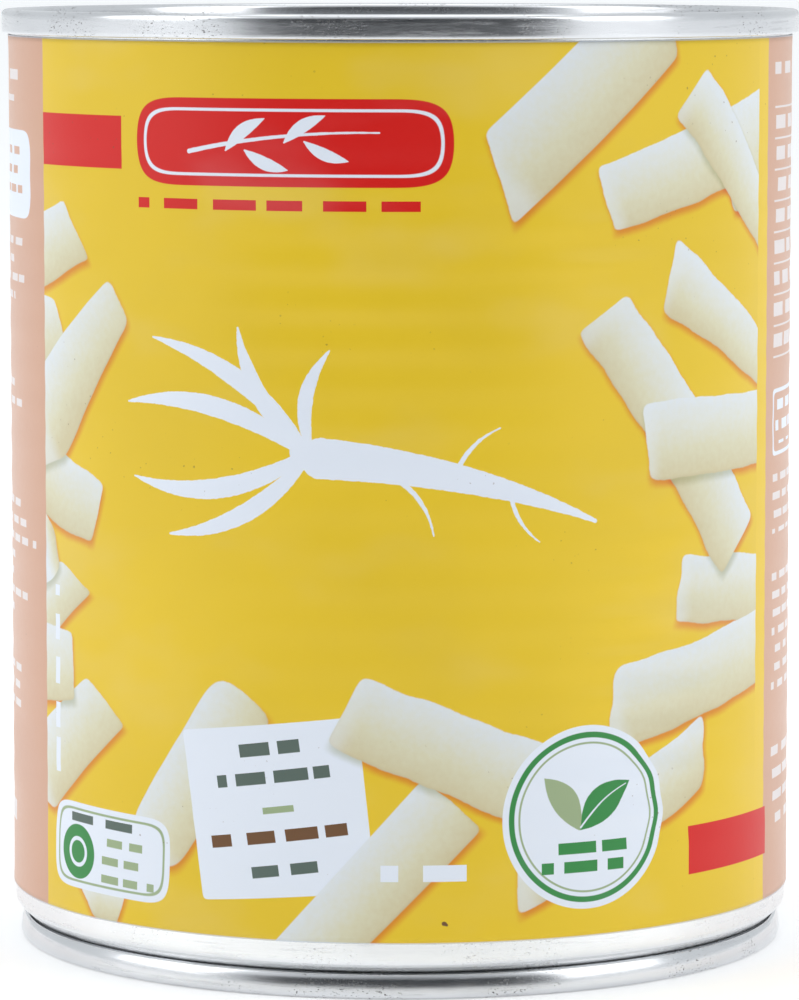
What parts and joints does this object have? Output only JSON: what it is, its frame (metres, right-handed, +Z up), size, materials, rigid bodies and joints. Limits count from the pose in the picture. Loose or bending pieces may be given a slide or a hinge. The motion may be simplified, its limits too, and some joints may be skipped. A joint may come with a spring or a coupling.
{
  "type": "food can",
  "caption": "Sealed cylindrical tinplate food can with beaded body, double-seamed stamped ends, necked-in base, paper wrap label and cut vegetable roots packed inside.",
  "frame": {"origin": "centre of the circle that the can stands on, at the crown of the bottom double seam", "axes": "+Z up along the can's axis, towards the top end; -Y out of the middle of the label's front panel; +X to the right as the label's front is seen; the label's lap is at the back, on +Y"},
  "size_m": [0.1012, 0.1012, 0.1184],
  "materials": {
    "body_tinplate": "satin",
    "end_tinplate": "satin",
    "sealing_compound": "matte",
    "label_paper": "satin",
    "hot_melt_glue": "satin",
    "root_flesh": "satin"
  },
  "bodies": {
    "root": {"can_body": "body_tinplate", "top_end": "end_tinplate", "bottom_end": "end_tinplate", "top_seam_compound": "sealing_compound", "bottom_seam_compound": "sealing_compound", "label": "label_paper", "label_lap_glue": "hot_melt_glue", "label_pickup_glue": "hot_melt_glue", "salsify_root_01": "root_flesh", "salsify_root_02": "root_flesh", "salsify_root_03": "root_flesh", "salsify_root_04": "root_flesh", "salsify_root_05": "root_flesh", "salsify_root_06": "root_flesh", "salsify_root_07": "root_flesh", "salsify_root_08": "root_flesh", "salsify_root_09": "root_flesh", "salsify_root_10": "root_flesh", "salsify_root_11": "root_flesh", "salsify_root_12": "root_flesh", "salsify_root_13": "root_flesh", "salsify_root_14": "root_flesh", "salsify_root_15": "root_flesh", "salsify_root_16": "root_flesh", "salsify_root_17": "root_flesh", "salsify_root_18": "root_flesh", "salsify_root_19": "root_flesh", "salsify_root_20": "root_flesh", "salsify_root_21": "root_flesh", "salsify_root_22": "root_flesh", "salsify_root_23": "root_flesh", "salsify_root_24": "root_flesh", "salsify_root_25": "root_flesh", "salsify_root_26": "root_flesh", "salsify_root_27": "root_flesh", "salsify_root_28": "root_flesh", "salsify_root_29": "root_flesh", "salsify_root_30": "root_flesh", "salsify_root_31": "root_flesh", "salsify_root_32": "root_flesh", "salsify_root_33": "root_flesh", "salsify_root_34": "root_flesh", "salsify_root_35": "root_flesh", "salsify_root_36": "root_flesh", "salsify_root_37": "root_flesh", "salsify_root_38": "root_flesh"}
  },
  "joints": []
}
